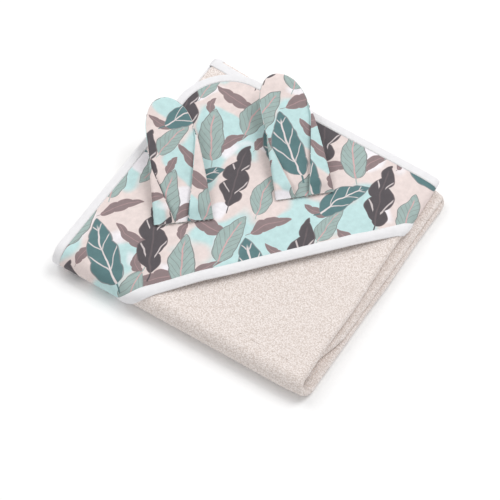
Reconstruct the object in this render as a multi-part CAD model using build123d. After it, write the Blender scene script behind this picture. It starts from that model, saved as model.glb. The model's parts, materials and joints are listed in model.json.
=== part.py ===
from build123d import *
import os
from math import cos, pi, radians, sin, sqrt

# Hooded baby towel, folded in thirds both ways with the hood on top. Millimetres, +Z up.
# Axes of the finished part: +X along the hood's mouth, +Y from the mouth to the bound corner.
# Axes of the packet, before it is turned: u runs across the first folds, v across the second.
# The towel's bound corner is at low u and high v.

# Towel
towel_side = 850.0          # the terry square, edge to edge
folds_each_way = 3          # folded in thirds, first across u and then across v
terry_layer = 2.9           # one layer of looped terry, lightly pressed
layer_clearance = 0.3       # air between two thirds, so that the top one lifts off
lower_fold_proud = 5.0      # how far the lower thirds show past the top one on the high-u side
top_end_set_back = 10.0     # the top third's bound end, from the fold of the lower two
fold_skew = 2.6             # degrees that the folds lie off 45 to the hood's mouth

# Binding tape
edge_tape_width = 8.0       # round the towel's four sides
mouth_tape_width = 10.0     # along the hood's mouth
mouth_tape_proud = 0.5      # the tape stands this far past the cloth that it binds, on each face

# Hood
hood_leg = 358.0            # from the bound corner along either side of the towel
hood_corner_radius = 60.0
hood_cloth = 0.8            # printed outer cloth
lining_cloth = 1.0
pocket_height = 5.0         # room left under the hood when it lies flat
brim_half_width = 90.0      # the loose middle of the mouth, either side of its centre
brim_centre_x = 9.0
brim_clearance = 0.4        # cut line between the brim and the sewn-down rest of the hood

# Ears
ear_set_back = 67.0         # from the mouth to the ears' base seams
ear_spacing = 124.0         # between the middles of the two base seams
ear_centre_x = -8.0         # midway between the two ears
ear_length = 137.5
ear_base_width = 57.0
ear_tip_radius = 20.0
ear_tip_sweep = 20.0        # degrees below level at which the tip's arc meets the sides
ear_shoulder = 88.0         # length up to which the sides stay nearly parallel
ear_shoulder_in = 1.0       # how much each side has come in there
ear_cloth = 1.3             # front or back panel with its turned-in seam allowance
ear_lift = 12.0             # degrees that an ear stands off the hood at rest
ear_clearance = 0.3
brim_hinge_lead = 5.0       # the brim bends along a line this far in front of the ears' base seams
left_ear_turn = 7.0         # degrees clockwise, seen from above
right_ear_turn = 4.0

# Thread
thread_width = 0.6
thread_height = 0.3
stitch_length = 3.0
stitch_pitch = 4.5

# Worked out from the above
packet_side = towel_side / folds_each_way
half = packet_side / 2
bundle = folds_each_way * terry_layer
inner_level = bundle + layer_clearance
top_level = 2 * inner_level
terry_top = top_level + bundle
bound_layer_level = terry_top - terry_layer
lining_level = terry_top + pocket_height
cloth_level = lining_level + lining_cloth
hood_top = cloth_level + hood_cloth
hood_stack = hood_cloth + lining_cloth
wrap_radius = hood_top / 2                              # hood round the packet's outer fold
tuck_radius = (hood_top - top_level) / 2                # hood round the top third's own fold
inner_fold_radius = inner_level - layer_clearance / 2
outer_fold_radius = terry_top / 2
outer_fold_v = -half + wrap_radius
inner_fold_v = half - inner_fold_radius
top_end_v = half - top_end_set_back
tuck_u = half - tuck_radius
top_fold_u = half - hood_stack
lower_fold_u = half + lower_fold_proud
fold_rounding = 0.45 * bundle                           # just short of a full half round
mouth_y = -(hood_leg - half - top_end_v) / sqrt(2)
ear_line_y = mouth_y + ear_set_back
brim_line_y = ear_line_y - brim_hinge_lead
tape_line_y = mouth_y + mouth_tape_width
far = 4 * towel_side                                    # larger than anything that it cuts
turn_angle = 45 + fold_skew
turn = Rot(0, 0, -turn_angle)


def mouth_u(v):
    """Where the mouth line crosses this v."""
    return (v * cos(radians(turn_angle)) - mouth_y) / sin(radians(turn_angle))


def mouth_v(u):
    """Where the mouth line crosses this u."""
    return (u * sin(radians(turn_angle)) + mouth_y) / cos(radians(turn_angle))


def block(u0, u1, v0, v1, z0, z1):
    """A block in the packet's own axes."""
    return Pos(u0, v0, z0) * Box(u1 - u0, v1 - v0, z1 - z0, align=Align.MIN)


def sheet(face, z0, z1):
    """A flat sheet of cloth with this outline, between two heights."""
    return Pos(0, 0, z0) * extrude(face, z1 - z0)


def rolled_along_u(outer, inner, u0, u1, v, z, side):
    """Half of a tube along u, on the low-v or high-v side of its axis."""
    tube = Cylinder(outer, u1 - u0, rotation=(0, 90, 0))
    if inner > 0:
        tube = tube - Cylinder(inner, u1 - u0, rotation=(0, 90, 0))
    keep = Pos(0, side * far / 2, 0) * Box(far, far, far)
    return Pos((u0 + u1) / 2, v, z) * (tube & keep)


def rolled_along_v(outer, inner, v0, v1, u, z):
    """Half of a tube along v, on the high-u side of its axis."""
    tube = Cylinder(outer, v1 - v0, rotation=(90, 0, 0))
    tube = tube - Cylinder(inner, v1 - v0, rotation=(90, 0, 0))
    keep = Pos(far / 2, 0, 0) * Box(far, far, far)
    return Pos(u, (v0 + v1) / 2, z) * (tube & keep)


def bound_outline(inset, high_u):
    """Outline of the top layer, inset from its two bound sides and rounded where they meet."""
    width = high_u + half - inset
    length = top_end_v - inset - outer_fold_v
    centre = Pos((high_u - half + inset) / 2, (top_end_v - inset + outer_fold_v) / 2)
    outline = centre * Rectangle(width, length)
    corner = outline.vertices().sort_by(lambda point: point.Y - point.X)[-1]
    return fillet(corner, hood_corner_radius - inset)


def front_of(y):
    """Everything in front of a line across the hood, in the finished part's axes."""
    return Pos(0, y - far / 2, 0) * Box(far, far, far)


def brim_middle(half_width):
    """Everything within this distance of the brim's centre line."""
    return Pos(brim_centre_x, 0, 0) * Box(2 * half_width, far, far)


def hidden_tape(z0, fold_u, end_v):
    """Binding of the towel's last side, inside the fold at the high-u side of one third."""
    u1 = fold_u - terry_layer
    z1 = z0 + terry_layer
    return block(u1 - edge_tape_width, u1, outer_fold_v, end_v, z1, z1 + terry_layer)


def third(z0, fold_u, end_v):
    """Three layers of terry, rounded along the high-u side where the outer two are one fold."""
    stack = block(-half, fold_u, outer_fold_v, end_v, z0, z0 + bundle)
    fold_edges = stack.edges().filter_by(Axis.Y).group_by(Axis.X)[-1]
    return fillet(fold_edges, fold_rounding)


def lower_thirds():
    """The two thirds under the hood, the fold that joins them, and their bound edges."""
    tape_u = -half + edge_tape_width
    tape_v = outer_fold_v + edge_tape_width
    inner_top = inner_level + bundle
    bottom_side = block(-half, tape_u, outer_fold_v, inner_fold_v, 0, terry_layer)
    inner_side = block(-half, tape_u, tape_v, inner_fold_v, inner_top - terry_layer, inner_top)
    inner_end = block(-half, lower_fold_u - fold_rounding, outer_fold_v, tape_v, inner_level, inner_top)
    hidden_low = hidden_tape(0, lower_fold_u, inner_fold_v)
    hidden_high = hidden_tape(inner_level, lower_fold_u, inner_fold_v) - inner_end
    inner = third(inner_level, lower_fold_u, inner_fold_v) - inner_side - inner_end - hidden_high
    fold_end_u = lower_fold_u - fold_rounding
    return {
        "terry_bottom_third": third(0, lower_fold_u, inner_fold_v) - bottom_side - hidden_low,
        "terry_inner_third": inner,
        "terry_inner_fold": rolled_along_u(
            inner_fold_radius, 0, -half, fold_end_u, inner_fold_v, inner_fold_radius, 1
        ),
        "edge_binding_bottom_side": bottom_side,
        "edge_binding_inner_side": inner_side,
        "edge_binding_inner_end": inner_end,
        "edge_binding_hidden_lower": Compound([hidden_low, hidden_high]),
    }


def left_wrap():
    """The hood's left point, carried round the packet's outer fold towards its underside."""
    start = mouth_u(outer_fold_v)
    under = start - pi * wrap_radius
    tape_u = -half + edge_tape_width
    shell = rolled_along_u(
        wrap_radius, wrap_radius - hood_stack, tape_u, start, outer_fold_v, wrap_radius, -1
    )
    kept = Polyline((-far, 0), (under, 0), (start, hood_top), (-far, hood_top), close=True)
    return shell & extrude(Plane.XZ * make_face(kept), far / 2, both=True)


def right_wrap():
    """The hood's right point, turned round the top third's own fold and tucked under it."""
    start = mouth_v(tuck_u)
    run = pi * tuck_radius
    tape_v = top_end_v - edge_tape_width
    middle_z = top_level + tuck_radius
    inner = tuck_radius - hood_stack
    shell = rolled_along_v(tuck_radius, inner, start, tape_v, tuck_u, middle_z)
    slope = Polyline(
        (start, hood_top), (far, hood_top), (far, top_level), (start + run, top_level), close=True
    )
    shell = shell & extrude(Plane.YZ * make_face(slope), far / 2, both=True)
    tuck = tape_v - start - run
    if tuck <= 0:                                           # a short point ends on the fold
        return shell
    shape = Polyline((tuck_u, start + run), (tuck_u, tape_v), (tuck_u - tuck, tape_v), close=True)
    return shell + sheet(make_face(shape), top_level, top_level + hood_stack)


def right_wrap_room():
    """What the top third leaves free for the right wrap and for the tape beside it."""
    return block(tuck_u, half, mouth_v(tuck_u), top_end_v, top_level, hood_top)


def hood_tape():
    """Side binding on the top layer, round the bound corner and on round the right fold."""
    ring = bound_outline(0, tuck_u) - bound_outline(edge_tape_width, tuck_u)
    tape_v = top_end_v - edge_tape_width
    inner = tuck_radius - hood_stack
    end = rolled_along_v(tuck_radius, inner, tape_v, top_end_v, tuck_u, top_level + tuck_radius)
    return sheet(ring, bound_layer_level, hood_top) + end


def outer_fold_tape():
    """The side binding where it follows the packet's outer fold."""
    depth = hood_top - bound_layer_level
    inner = wrap_radius - depth
    tape_u = -half + edge_tape_width
    return rolled_along_u(wrap_radius, inner, -half, tape_u, outer_fold_v, wrap_radius, -1)


def top_third_pieces():
    """The third that carries the hood, with its folds and its bound edges."""
    wrap = right_wrap()
    room = right_wrap_room()
    tape = hood_tape()
    bound = sheet(bound_outline(edge_tape_width, half), bound_layer_level, terry_top)
    layer = block(-half, half, outer_fold_v, top_end_v, bound_layer_level, terry_top)
    tape_v = top_end_v - edge_tape_width
    end_tape = block(-half, tuck_u, tape_v, top_end_v, top_level, bound_layer_level) - tape
    hidden = hidden_tape(top_level, top_fold_u, tape_v) - room - wrap
    terry = third(top_level, top_fold_u, top_end_v) - (layer - bound) - room - wrap
    terry = terry - end_tape - hidden - tape
    left = left_wrap()
    fold_tape = outer_fold_tape()
    over_fold = rolled_along_u(
        outer_fold_radius, outer_fold_radius - bundle, -half, half, outer_fold_v, outer_fold_radius, -1
    )
    return {
        "terry_top_third": terry,
        "terry_outer_fold": over_fold - left - fold_tape,
        "edge_binding_hood": tape,
        "edge_binding_top_end": end_tape,
        "edge_binding_hidden_top": hidden,
        "edge_binding_outer_fold": fold_tape,
        "hood_left_wrap": left,
        "hood_right_wrap": wrap,
    }


def hood_pieces():
    """Crown and sides of the hood, the brim that lifts off the towel, and the mouth binding."""
    outline = bound_outline(edge_tape_width, tuck_u)
    outer = turn * sheet(outline, cloth_level, hood_top)
    lining = turn * sheet(outline, lining_level, cloth_level)
    tape = turn * sheet(outline, lining_level - mouth_tape_proud, hood_top + mouth_tape_proud)
    tape = (tape & front_of(tape_line_y)) - front_of(mouth_y)
    brim_area = front_of(brim_line_y - brim_clearance) & brim_middle(brim_half_width)
    cut_out = front_of(brim_line_y) & brim_middle(brim_half_width + brim_clearance)
    return {
        "hood_panel": outer - cut_out - front_of(tape_line_y),
        "hood_lining": lining - cut_out - front_of(tape_line_y),
        "mouth_binding_ends": tape - cut_out,
        "brim_panel": (outer & brim_area) - front_of(tape_line_y),
        "brim_lining": (lining & brim_area) - front_of(tape_line_y),
        "mouth_binding": tape & brim_area,
    }


def ear_outline():
    """Ear outline: nearly straight sides that run into a round tip."""
    w = ear_base_width / 2
    tip_x = ear_tip_radius * cos(radians(ear_tip_sweep))
    tip_y = ear_length - ear_tip_radius + ear_tip_radius * sin(radians(ear_tip_sweep))
    right = Spline((w, 0), (w - ear_shoulder_in, ear_shoulder), (tip_x, tip_y))
    tip = ThreePointArc((tip_x, tip_y), (0, ear_length), (-tip_x, tip_y))
    left = Spline((-tip_x, tip_y), (ear_shoulder_in - w, ear_shoulder), (-w, 0))
    return make_face([right, tip, left, Line((-w, 0), (w, 0))])


def ear_place(side, ear_turn):
    """The middle of an ear's base seam, turned as the ear is."""
    x = ear_centre_x + side * ear_spacing / 2
    z = hood_top + ear_clearance + ear_cloth
    return Pos(x, ear_line_y, z) * Rot(0, 0, -ear_turn)


def ear(name, place):
    """Front and back panel of one ear, and the row of stitches along its base seam."""
    raised = place * Rot(ear_lift, 0, 0)
    count = int(ear_base_width / stitch_pitch)
    first = -(count - 1) * stitch_pitch / 2
    height = ear_clearance / 2
    low = -ear_cloth - ear_clearance + height / 2
    stitch = Box(stitch_length, thread_width, height)
    row = [place * Pos(first + i * stitch_pitch, thread_width, low) * stitch for i in range(count)]
    return {
        f"{name}_front": raised * sheet(ear_outline(), 0, ear_cloth),
        f"{name}_back": raised * sheet(ear_outline(), -ear_cloth, 0),
        f"{name}_stitching": Compound(row),
    }


def stitch_rows():
    """Thread along the inner edge of the side binding and of the mouth binding."""
    inset = edge_tape_width - 2 * thread_width
    row = bound_outline(inset, tuck_u) - bound_outline(inset + thread_width, tuck_u)
    z = hood_top + mouth_tape_proud + thread_height / 2
    length = 2 * (brim_half_width - stitch_length)
    mouth_row = Box(length, thread_width, thread_height)
    return {
        "edge_stitching": turn * sheet(row, hood_top, hood_top + thread_height),
        "mouth_stitching": Pos(brim_centre_x, tape_line_y - thread_width, z) * mouth_row,
    }


left_place = ear_place(-1, left_ear_turn)
right_place = ear_place(1, right_ear_turn)
nodes = {name: turn * piece for name, piece in lower_thirds().items()}
nodes.update({name: turn * piece for name, piece in top_third_pieces().items()})
nodes.update(hood_pieces())
nodes.update(stitch_rows())
nodes.update(ear("left_ear", left_place))
nodes.update(ear("right_ear", right_place))

# The origin is the middle of the underside of the part's box.
box = Compound(list(nodes.values())).bounding_box()
origin = Pos(-box.center().X, -box.center().Y, -box.min.Z)

os.makedirs("parts", exist_ok=True)
for name, piece in nodes.items():
    export_step(origin * piece, f"parts/{name}.step")

# Joint axes for the record, in the finished part's axes.
print("fold axis", (origin * turn * Pos(0, outer_fold_v, wrap_radius)).position)
print("brim axis", (origin * Pos(brim_centre_x, brim_line_y, hood_top)).position)
print("left ear axis", (origin * left_place).position)
print("right ear axis", (origin * right_place).position)
print("hood frame", origin.position)
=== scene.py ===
import json
from math import ceil, cos, exp, pi, radians, sin, sqrt

import bmesh
import bpy
from mathutils import Matrix, Vector, noise


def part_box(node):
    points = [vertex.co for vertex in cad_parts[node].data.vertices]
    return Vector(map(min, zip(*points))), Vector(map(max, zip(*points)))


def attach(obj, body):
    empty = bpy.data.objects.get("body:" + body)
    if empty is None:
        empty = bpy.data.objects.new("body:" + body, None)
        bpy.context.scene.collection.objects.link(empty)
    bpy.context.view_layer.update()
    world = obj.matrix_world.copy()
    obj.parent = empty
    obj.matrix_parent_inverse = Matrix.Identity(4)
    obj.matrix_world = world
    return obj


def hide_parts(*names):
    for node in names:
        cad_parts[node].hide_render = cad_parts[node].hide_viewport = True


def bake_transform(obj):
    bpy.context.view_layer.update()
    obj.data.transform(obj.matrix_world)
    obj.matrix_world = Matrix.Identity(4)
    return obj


bl_info = {
    "name": "Hooded towel",
    "version": (1, 0, 0),
    "blender": (4, 5, 0),
    "location": "View3D > Sidebar > Towel",
    "description": "Dresses a folded hooded towel: looped terry, printed hood and ears, woven tape, thread",
    "category": "Object",
}

MM = 0.001
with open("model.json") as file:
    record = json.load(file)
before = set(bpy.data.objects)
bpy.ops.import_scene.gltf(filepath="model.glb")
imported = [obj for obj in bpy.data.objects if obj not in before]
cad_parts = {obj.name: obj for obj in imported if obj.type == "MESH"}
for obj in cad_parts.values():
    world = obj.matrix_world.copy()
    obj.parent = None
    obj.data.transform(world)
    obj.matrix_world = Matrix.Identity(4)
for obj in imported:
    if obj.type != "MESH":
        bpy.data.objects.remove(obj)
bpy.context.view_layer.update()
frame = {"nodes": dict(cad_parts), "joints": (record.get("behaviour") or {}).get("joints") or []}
JOINTS = {joint["name"]: joint for joint in frame["joints"]}

# The packet's own axes: u runs across the first folds, along the joint that opens the top third,
# and v runs across the second folds. The bound corner is at low u and high v.
UNFOLD = JOINTS["top_third_unfold"]
U_AXIS = Vector(UNFOLD["axis"]).normalized()
V_AXIS = Vector((-U_AXIS.y, U_AXIS.x, 0))
FOLD_POINT = Vector(UNFOLD["pos_m"])


def reach(node, axis):
    """How far a CAD node reaches along a level axis, measured from the fold joint, lowest and highest."""
    along = [(v.co - FOLD_POINT).dot(axis) for v in frame["nodes"][node].data.vertices]
    return min(along), max(along)


def height(node):
    """Lowest and highest level of a CAD node."""
    low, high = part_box(node)
    return low.z, high.z


ROLL_U = reach("terry_outer_fold", U_AXIS)
HALF = (ROLL_U[1] - ROLL_U[0]) / 2
MIDDLE_U = (ROLL_U[1] + ROLL_U[0]) / 2
BUNDLE = height("terry_bottom_third")[1]  # three layers of terry
LAYER = BUNDLE / 3
INNER_TOP = height("terry_inner_third")[1]
TERRY_TOP = height("terry_top_third")[1]
HOOD_TOP = height("hood_panel")[1]
HOOD_CLOTH = HOOD_TOP - height("hood_panel")[0]
LINING_CLOTH = height("hood_lining")[1] - height("hood_lining")[0]
HOOD_STACK = HOOD_CLOTH + LINING_CLOTH
TOP_END = reach("edge_binding_top_end", V_AXIS)[1]  # bound end of the top third, from the fold joint
FOLD_IN = reach("terry_inner_fold", V_AXIS)[1]  # outside of the fold at high v
TOP_FOLD_U = reach("terry_top_third", U_AXIS)[1] - MIDDLE_U
LOW_FOLD_U = reach("terry_bottom_third", U_AXIS)[1] - MIDDLE_U
ROLL_RADIUS = TERRY_TOP / 2
INNER_RADIUS = INNER_TOP / 2
INNER_V = FOLD_IN - INNER_RADIUS
TAPE_WIDTH = reach("edge_binding_outer_fold", U_AXIS)[1] - ROLL_U[0]
MOUTH_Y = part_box("mouth_binding")[0].y
BRIM_Y = JOINTS["brim_lift"]["pos_m"][1]
BRIM_X = JOINTS["brim_lift"]["pos_m"][0]
EAR_LINE_Y = JOINTS["left_ear_fold"]["pos_m"][1]
CORNER_RADIUS = 60 * MM


def linear(hex_colour):
    """An sRGB hex colour as the linear RGBA that shaders take."""
    parts = [int(hex_colour[i:i + 2], 16) / 255 for i in (1, 3, 5)]
    return tuple(c / 12.92 if c <= 0.04045 else ((c + 0.055) / 1.055) ** 2.4 for c in parts) + (1.0,)


def colour_property(name, description, hex_colour):
    """A colour that a user can change, with its default given in sRGB hex."""
    return bpy.props.FloatVectorProperty(
        name=name, description=description, subtype="COLOR", size=4, min=0, max=1, default=linear(hex_colour)
    )


def length_property(name, description, millimetres):
    """A length that a user can change, with its default given in millimetres."""
    return bpy.props.FloatProperty(
        name=name, description=description, unit="LENGTH", subtype="DISTANCE", default=millimetres * MM
    )


class TowelShape(bpy.types.PropertyGroup):
    pile: length_property("Pile", "How far single loops of the terry stand in and out", 0.35)
    unevenness: length_property("Unevenness", "Slow rise and fall of the folded stack", 0.9)
    fold_wander: length_property("Fold wander", "How far the folded edges stray from straight", 1.6)
    shoulder: length_property("Shoulder", "How far the top of a stack drops towards its fold", 1.3)
    hood_gap: length_property("Hood gap", "Air between the terry and the loose hood", 5.0)
    tape_puff: length_property("Tape puff", "How far the mouth tape crowns across its width", 1.1)
    ear_half_width: length_property("Ear half width", "Half of an ear's width at its seam", 28.5)
    ear_length: length_property("Ear length", "Base seam to tip", 137.0)
    ear_puff: length_property("Ear puff", "Half of an ear's thickness away from its rim", 1.3)
    ear_lift: bpy.props.FloatProperty(
        name="Ear lift", description="Angle of an ear off the hood", unit="ROTATION", default=radians(12)
    )
    stitch_pitch: length_property("Stitch pitch", "From one stitch to the next", 4.5)
    stitch_length: length_property("Stitch length", "Length of one stitch", 3.0)
    print_repeat: length_property("Print repeat", "Distance after which the leaf print starts again", 148.0)


class TowelColours(bpy.types.PropertyGroup):
    terry: colour_property("Terry", "Undyed cotton loops", "#FCF3EF")
    # Terry shade is painted shade in the gaps between the loops, and also the darker patches of random tone
    terry_shade: colour_property("Terry shade", "Between the loops", "#D6C9C1")
    tape: colour_property("Tape", "Bleached cotton binding", "#F2F1F3")
    thread: colour_property("Thread", "Bleached thread", "#F4F3F1")
    lining: colour_property("Lining", "Plain jersey inside the hood", "#F0EAE5")
    blush: colour_property("Blush", "Main ground of the print", "#EBDCD8")
    aqua: colour_property("Aqua", "Washed patches of the ground", "#C4E3E3")
    chalk: colour_property("Chalk", "Unprinted patches of the ground", "#F8F4F8")
    charcoal: colour_property("Charcoal", "Darkest leaves", "#565054")
    teal: colour_property("Teal", "Large blue green leaves", "#5B7E81")
    sage: colour_property("Sage", "Pale grey green leaves", "#A4B8B4")
    mauve: colour_property("Mauve", "Brown grey leaves behind the rest", "#907E7F")
    vein: colour_property("Vein", "Pale veins", "#EFE3E2")
    rose: colour_property("Rose", "Pink veins", "#D8ADAE")
    outline: colour_property("Outline", "Fine drawn outlines", "#6E6163")


def shape():
    """The lengths and angles that a user can set."""
    return bpy.context.scene.towel_shape


def colours():
    """The colours that a user can set."""
    return bpy.context.scene.towel_colours


# ---------------------------------------------------------------- the folded cloth


def ease(x):
    """Goes smoothly from 0 to 1 as x does."""
    x = min(max(x, 0.0), 1.0)
    return x * x * (3 - 2 * x)


def ripple(x, y, size, seed=0.0):
    """Smooth noise, about -1 to 1, whose waves are about this size."""
    return noise.noise(Vector((x / size + seed, y / size - seed, seed * 1.7)))


# How far the folded edges of the top and the inner third lie back, so that all three thirds show.
TOP_SET_BACK = 2.4 * MM
INNER_SET_BACK = 3.2 * MM
END_TUCK = 9 * MM  # more, towards the end inside the packet


def high_fold(s):
    """Where the fold at the high-u side lies, this far along the strip from its bound end."""
    lower = ease((s - TOP_END) / (pi * ROLL_RADIUS))
    wander = shape().fold_wander * ripple(s, 0.0, 70 * MM, 3.1)
    tuck = END_TUCK * ease((s - (TOP_END - STRIP_END) + 60 * MM) / (50 * MM))
    tuck += TOP_SET_BACK * (1 - lower)
    tuck += INNER_SET_BACK * ease((s - TOP_END - ROLL_LENGTH - INNER_V) / INNER_ROLL_LENGTH)
    return TOP_FOLD_U + (LOW_FOLD_U - TOP_FOLD_U) * lower + wander - tuck


def first_folds(t, n, side):
    """Carries a point of the flat cloth through the two folds across u.

    t is the distance from the towel's bound side, n the height above the cloth's own middle, and
    side the place of the fold. Returns u and the depth below the bundle's outer face."""
    out = side - 1.5 * LAYER
    run_1 = out + HALF
    own = LAYER + 0.3 * max(n, 0.0)
    run_2 = run_1 + pi * own
    run_3 = run_2 + out + HALF - LAYER
    run_4 = run_3 + pi * LAYER / 2
    if t <= run_1:
        return t - HALF, LAYER / 2 - n
    if t <= run_2:
        a = (t - run_1) / own
        return out + (LAYER + n) * sin(a), 1.5 * LAYER - (LAYER + n) * cos(a)
    if t <= run_3:
        return out - (t - run_2), 2.5 * LAYER + n
    if t <= run_4:
        a = (t - run_3) / (LAYER / 2)
        return LAYER - HALF - (LAYER / 2 + n) * sin(a), 2 * LAYER + (LAYER / 2 + n) * cos(a)
    return LAYER - HALF + t - run_4, 1.5 * LAYER - n


def second_folds(s, depth):
    """Carries the strip through the two folds across v, and returns v from the fold joint and z."""
    middle = LAYER / 2
    run_2 = TOP_END + pi * (ROLL_RADIUS - middle)
    run_3 = run_2 + INNER_V
    run_4 = run_3 + pi * (INNER_RADIUS - middle)
    if s <= TOP_END:
        return TOP_END - s, TERRY_TOP - depth
    if s <= run_2:
        a = (s - TOP_END) / (ROLL_RADIUS - middle)
        return -(ROLL_RADIUS - depth) * sin(a), ROLL_RADIUS + (ROLL_RADIUS - depth) * cos(a)
    if s <= run_3:
        return s - run_2, depth
    if s <= run_4:
        a = (s - run_3) / (INNER_RADIUS - middle)
        reach_in = max(INNER_RADIUS - depth, 0.1 * MM)
        return INNER_V + reach_in * sin(a), INNER_RADIUS - reach_in * cos(a)
    return INNER_V - (s - run_4), INNER_TOP - depth


# How far the four corners of the packet are pulled out of square, as u and v.
CORNER_PULL = {
    (-1, 1): (-0.4 * MM, 6.1 * MM),
    (1, 1): (-0.5 * MM, -4.4 * MM),
    (1, -1): (0.6 * MM, 4.8 * MM),
    (-1, -1): (-1.5 * MM, -4.6 * MM),
}


# How far the top third's free corner, at high u and high v, lies from square, as u and v.
TOP_PULL = (-8 * MM, 13 * MM)

# How far the thick folded corner of the lower thirds is blunted, and how far from it that starts.
SOFT_CORNER = 4 * MM
SOFT_REACH = 15 * MM

LOWEST = 0.2 * MM  # the middle of the lowest cloth stays above this


def settle(u, v, z):
    """The unevenness of a real folded stack, the same for all that lies in it."""
    half_v = TOP_END / 2
    across = min(max(u / HALF, -1.1), 1.1)
    along = min(max((v - half_v) / half_v, -1.1), 1.1)
    share = {side: (1 + side[0] * across) * (1 + side[1] * along) / 4 for side in CORNER_PULL}
    pull_u = sum(share[side] * pull[0] for side, pull in CORNER_PULL.items())
    pull_v = sum(share[side] * pull[1] for side, pull in CORNER_PULL.items())
    up = z / TERRY_TOP
    rise = shape().unevenness * up * (ripple(u, v, 85 * MM) + 0.35 * ripple(u, v, 30 * MM, 2.3))
    edge = max(0.0, abs(across) - 0.6) / 0.4
    stray = shape().fold_wander * 0.5 * edge * ripple(v, z * 4, 55 * MM, 5.2)
    return u + pull_u + stray, v + pull_v, z + rise


def under_hood_point(u, v):
    """How far the stack is lifted at its foot, where the hood's left point passes under it."""
    return 1.9 * MM * ease((-HALF * 0.15 - u) / (50 * MM)) * ease((70 * MM - v) / (50 * MM))


def over_hood_point(u, v):
    """How much of the top third's thickness the hood's right point takes up under it."""
    return 0.17 * ease((u - 45 * MM) / (45 * MM)) * ease((v - 160 * MM) / (35 * MM))


def place(flat_u, flat_v, n):
    """Folds a point of the flat towel, n above the cloth's middle, and returns it in the part's axes.

    flat_u and flat_v are u and v as if the top layer went on flat past its folds."""
    t = flat_u + HALF
    s = TOP_END - flat_v
    u, depth = first_folds(t, n, high_fold(s))
    near_fold = ease((u - TOP_FOLD_U + 20 * MM) / (18 * MM))
    depth += shape().shoulder * near_fold * max(0.0, 1 - depth / BUNDLE)
    if s <= TOP_END and depth > 0:
        depth *= 1 - over_hood_point(u, flat_v)
    v, z = second_folds(s, depth)
    if z < TERRY_TOP:
        z += under_hood_point(u, v) * (1 - z / TERRY_TOP) ** 2
    u, v, z = settle(u, v, z)
    if s <= TOP_END:
        share = max((1 + min(u / HALF, 1.1)) / 2, 0) ** 1.5 * max(v / TOP_END, 0) ** 2
        u += TOP_PULL[0] * share
        v += TOP_PULL[1] * share
    if s > TOP_END + ROLL_LENGTH:
        share = max(0.0, 1 - (LOW_FOLD_U - u) / SOFT_REACH) * max(0.0, 1 - (FOLD_IN - v) / SOFT_REACH)
        u -= SOFT_CORNER * share
        v -= SOFT_CORNER * share
    z = max(z, LOWEST)
    level = FOLD_POINT + U_AXIS * (u + MIDDLE_U) + V_AXIS * v
    return Vector((level.x, level.y, z))


def to_hood(flat_u, flat_v):
    """Flat u and v as x and y of the part, still flat."""
    level = FOLD_POINT + U_AXIS * (flat_u + MIDDLE_U) + V_AXIS * flat_v
    return level.x, level.y


def to_flat(x, y):
    """x and y of the part as flat u and v."""
    offset = Vector((x, y, 0)) - Vector((FOLD_POINT.x, FOLD_POINT.y, 0))
    return offset.dot(U_AXIS) - MIDDLE_U, offset.dot(V_AXIS)


def hood_face(flat_u, flat_v):
    """Height of the hood's outer face above the middle of the terry's top layer."""
    near = 55 * MM
    gap = ease((flat_u + HALF) / near) * ease((TOP_END - flat_v) / near)
    gap *= ease((flat_v + 4 * MM) / (48 * MM)) * ease((TOP_FOLD_U - 4 * MM - flat_u) / (45 * MM))
    slack = 0.5 * MM * ripple(flat_u, flat_v, 32 * MM, 7.7) + 0.7 * MM * ripple(flat_u, flat_v, 75 * MM, 1.4)
    slack *= ease(abs(to_hood(flat_u, flat_v)[1] - EAR_LINE_Y) / (35 * MM))
    return LAYER / 2 + HOOD_STACK + gap * (shape().hood_gap + slack)


# ---------------------------------------------------------------- meshes


def spaced(*stretches):
    """Places along a line, from stretches of (end, step) after a start."""
    places = [stretches[0]]
    for end, step in stretches[1:]:
        count = max(1, ceil(abs(end - places[-1]) / step - 1e-6))
        start = places[-1]
        places += [start + (end - start) * k / count for k in range(1, count + 1)]
    return places


def grid(columns, rows):
    """A flat bmesh grid with its lines at these places."""
    bm = bmesh.new()
    bmesh.ops.create_grid(bm, x_segments=len(columns) - 1, y_segments=len(rows) - 1, size=0.5)
    for vert in bm.verts:
        i = round((vert.co.x + 0.5) * (len(columns) - 1))
        j = round((vert.co.y + 0.5) * (len(rows) - 1))
        vert.co = Vector((columns[i], rows[j], 0))
    return bm


def cut(bm, point, outward):
    """Cuts a flat mesh along a line and drops what lies on its outward side."""
    geometry = bm.verts[:] + bm.edges[:] + bm.faces[:]
    bmesh.ops.bisect_plane(
        bm, geom=geometry, dist=1e-7, plane_co=(*point, 0), plane_no=(*outward, 0), clear_outer=True
    )


def round_corner(bm, inset=0.0):
    """Rounds the towel's bound corner, this far in from its edge."""
    radius = CORNER_RADIUS - inset
    centre = (CORNER_RADIUS - HALF, TOP_END - CORNER_RADIUS)
    facets = 16
    for k in range(facets):
        a = (k + 0.5) * pi / 2 / facets
        outward = (-sin(a), cos(a))
        cut(bm, (centre[0] + radius * outward[0], centre[1] + radius * outward[1]), outward)


def write_uv(bm, flat_at):
    """Keeps each corner's place on the flat cloth, in metres, as the piece's UV map."""
    layer = bm.loops.layers.uv.new("flat")
    for face in bm.faces:
        for loop in face.loops:
            loop[layer].uv = flat_at(loop.vert.co)


def finish_piece(name, bm, material):
    """Turns a bmesh into a smooth-shaded object with its material and slot."""
    for edge in bm.edges:
        edge.smooth = not edge.is_boundary
    mesh = bpy.data.meshes.new(name)
    bm.to_mesh(mesh)
    bm.free()
    mesh.polygons.foreach_set("use_smooth", [True] * len(mesh.polygons))
    mesh.materials.append(material)
    piece = bpy.data.objects.new(name, mesh)
    bpy.context.scene.collection.objects.link(piece)
    return piece


def thicken(piece, thickness, offset):
    """Gives a sheet its thickness. Offset 0 keeps it about its middle, and -1 grows it inwards."""
    solid = piece.modifiers.new("thickness", "SOLIDIFY")
    solid.thickness = thickness
    solid.offset = offset
    solid.use_even_offset = False
    return piece


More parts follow.
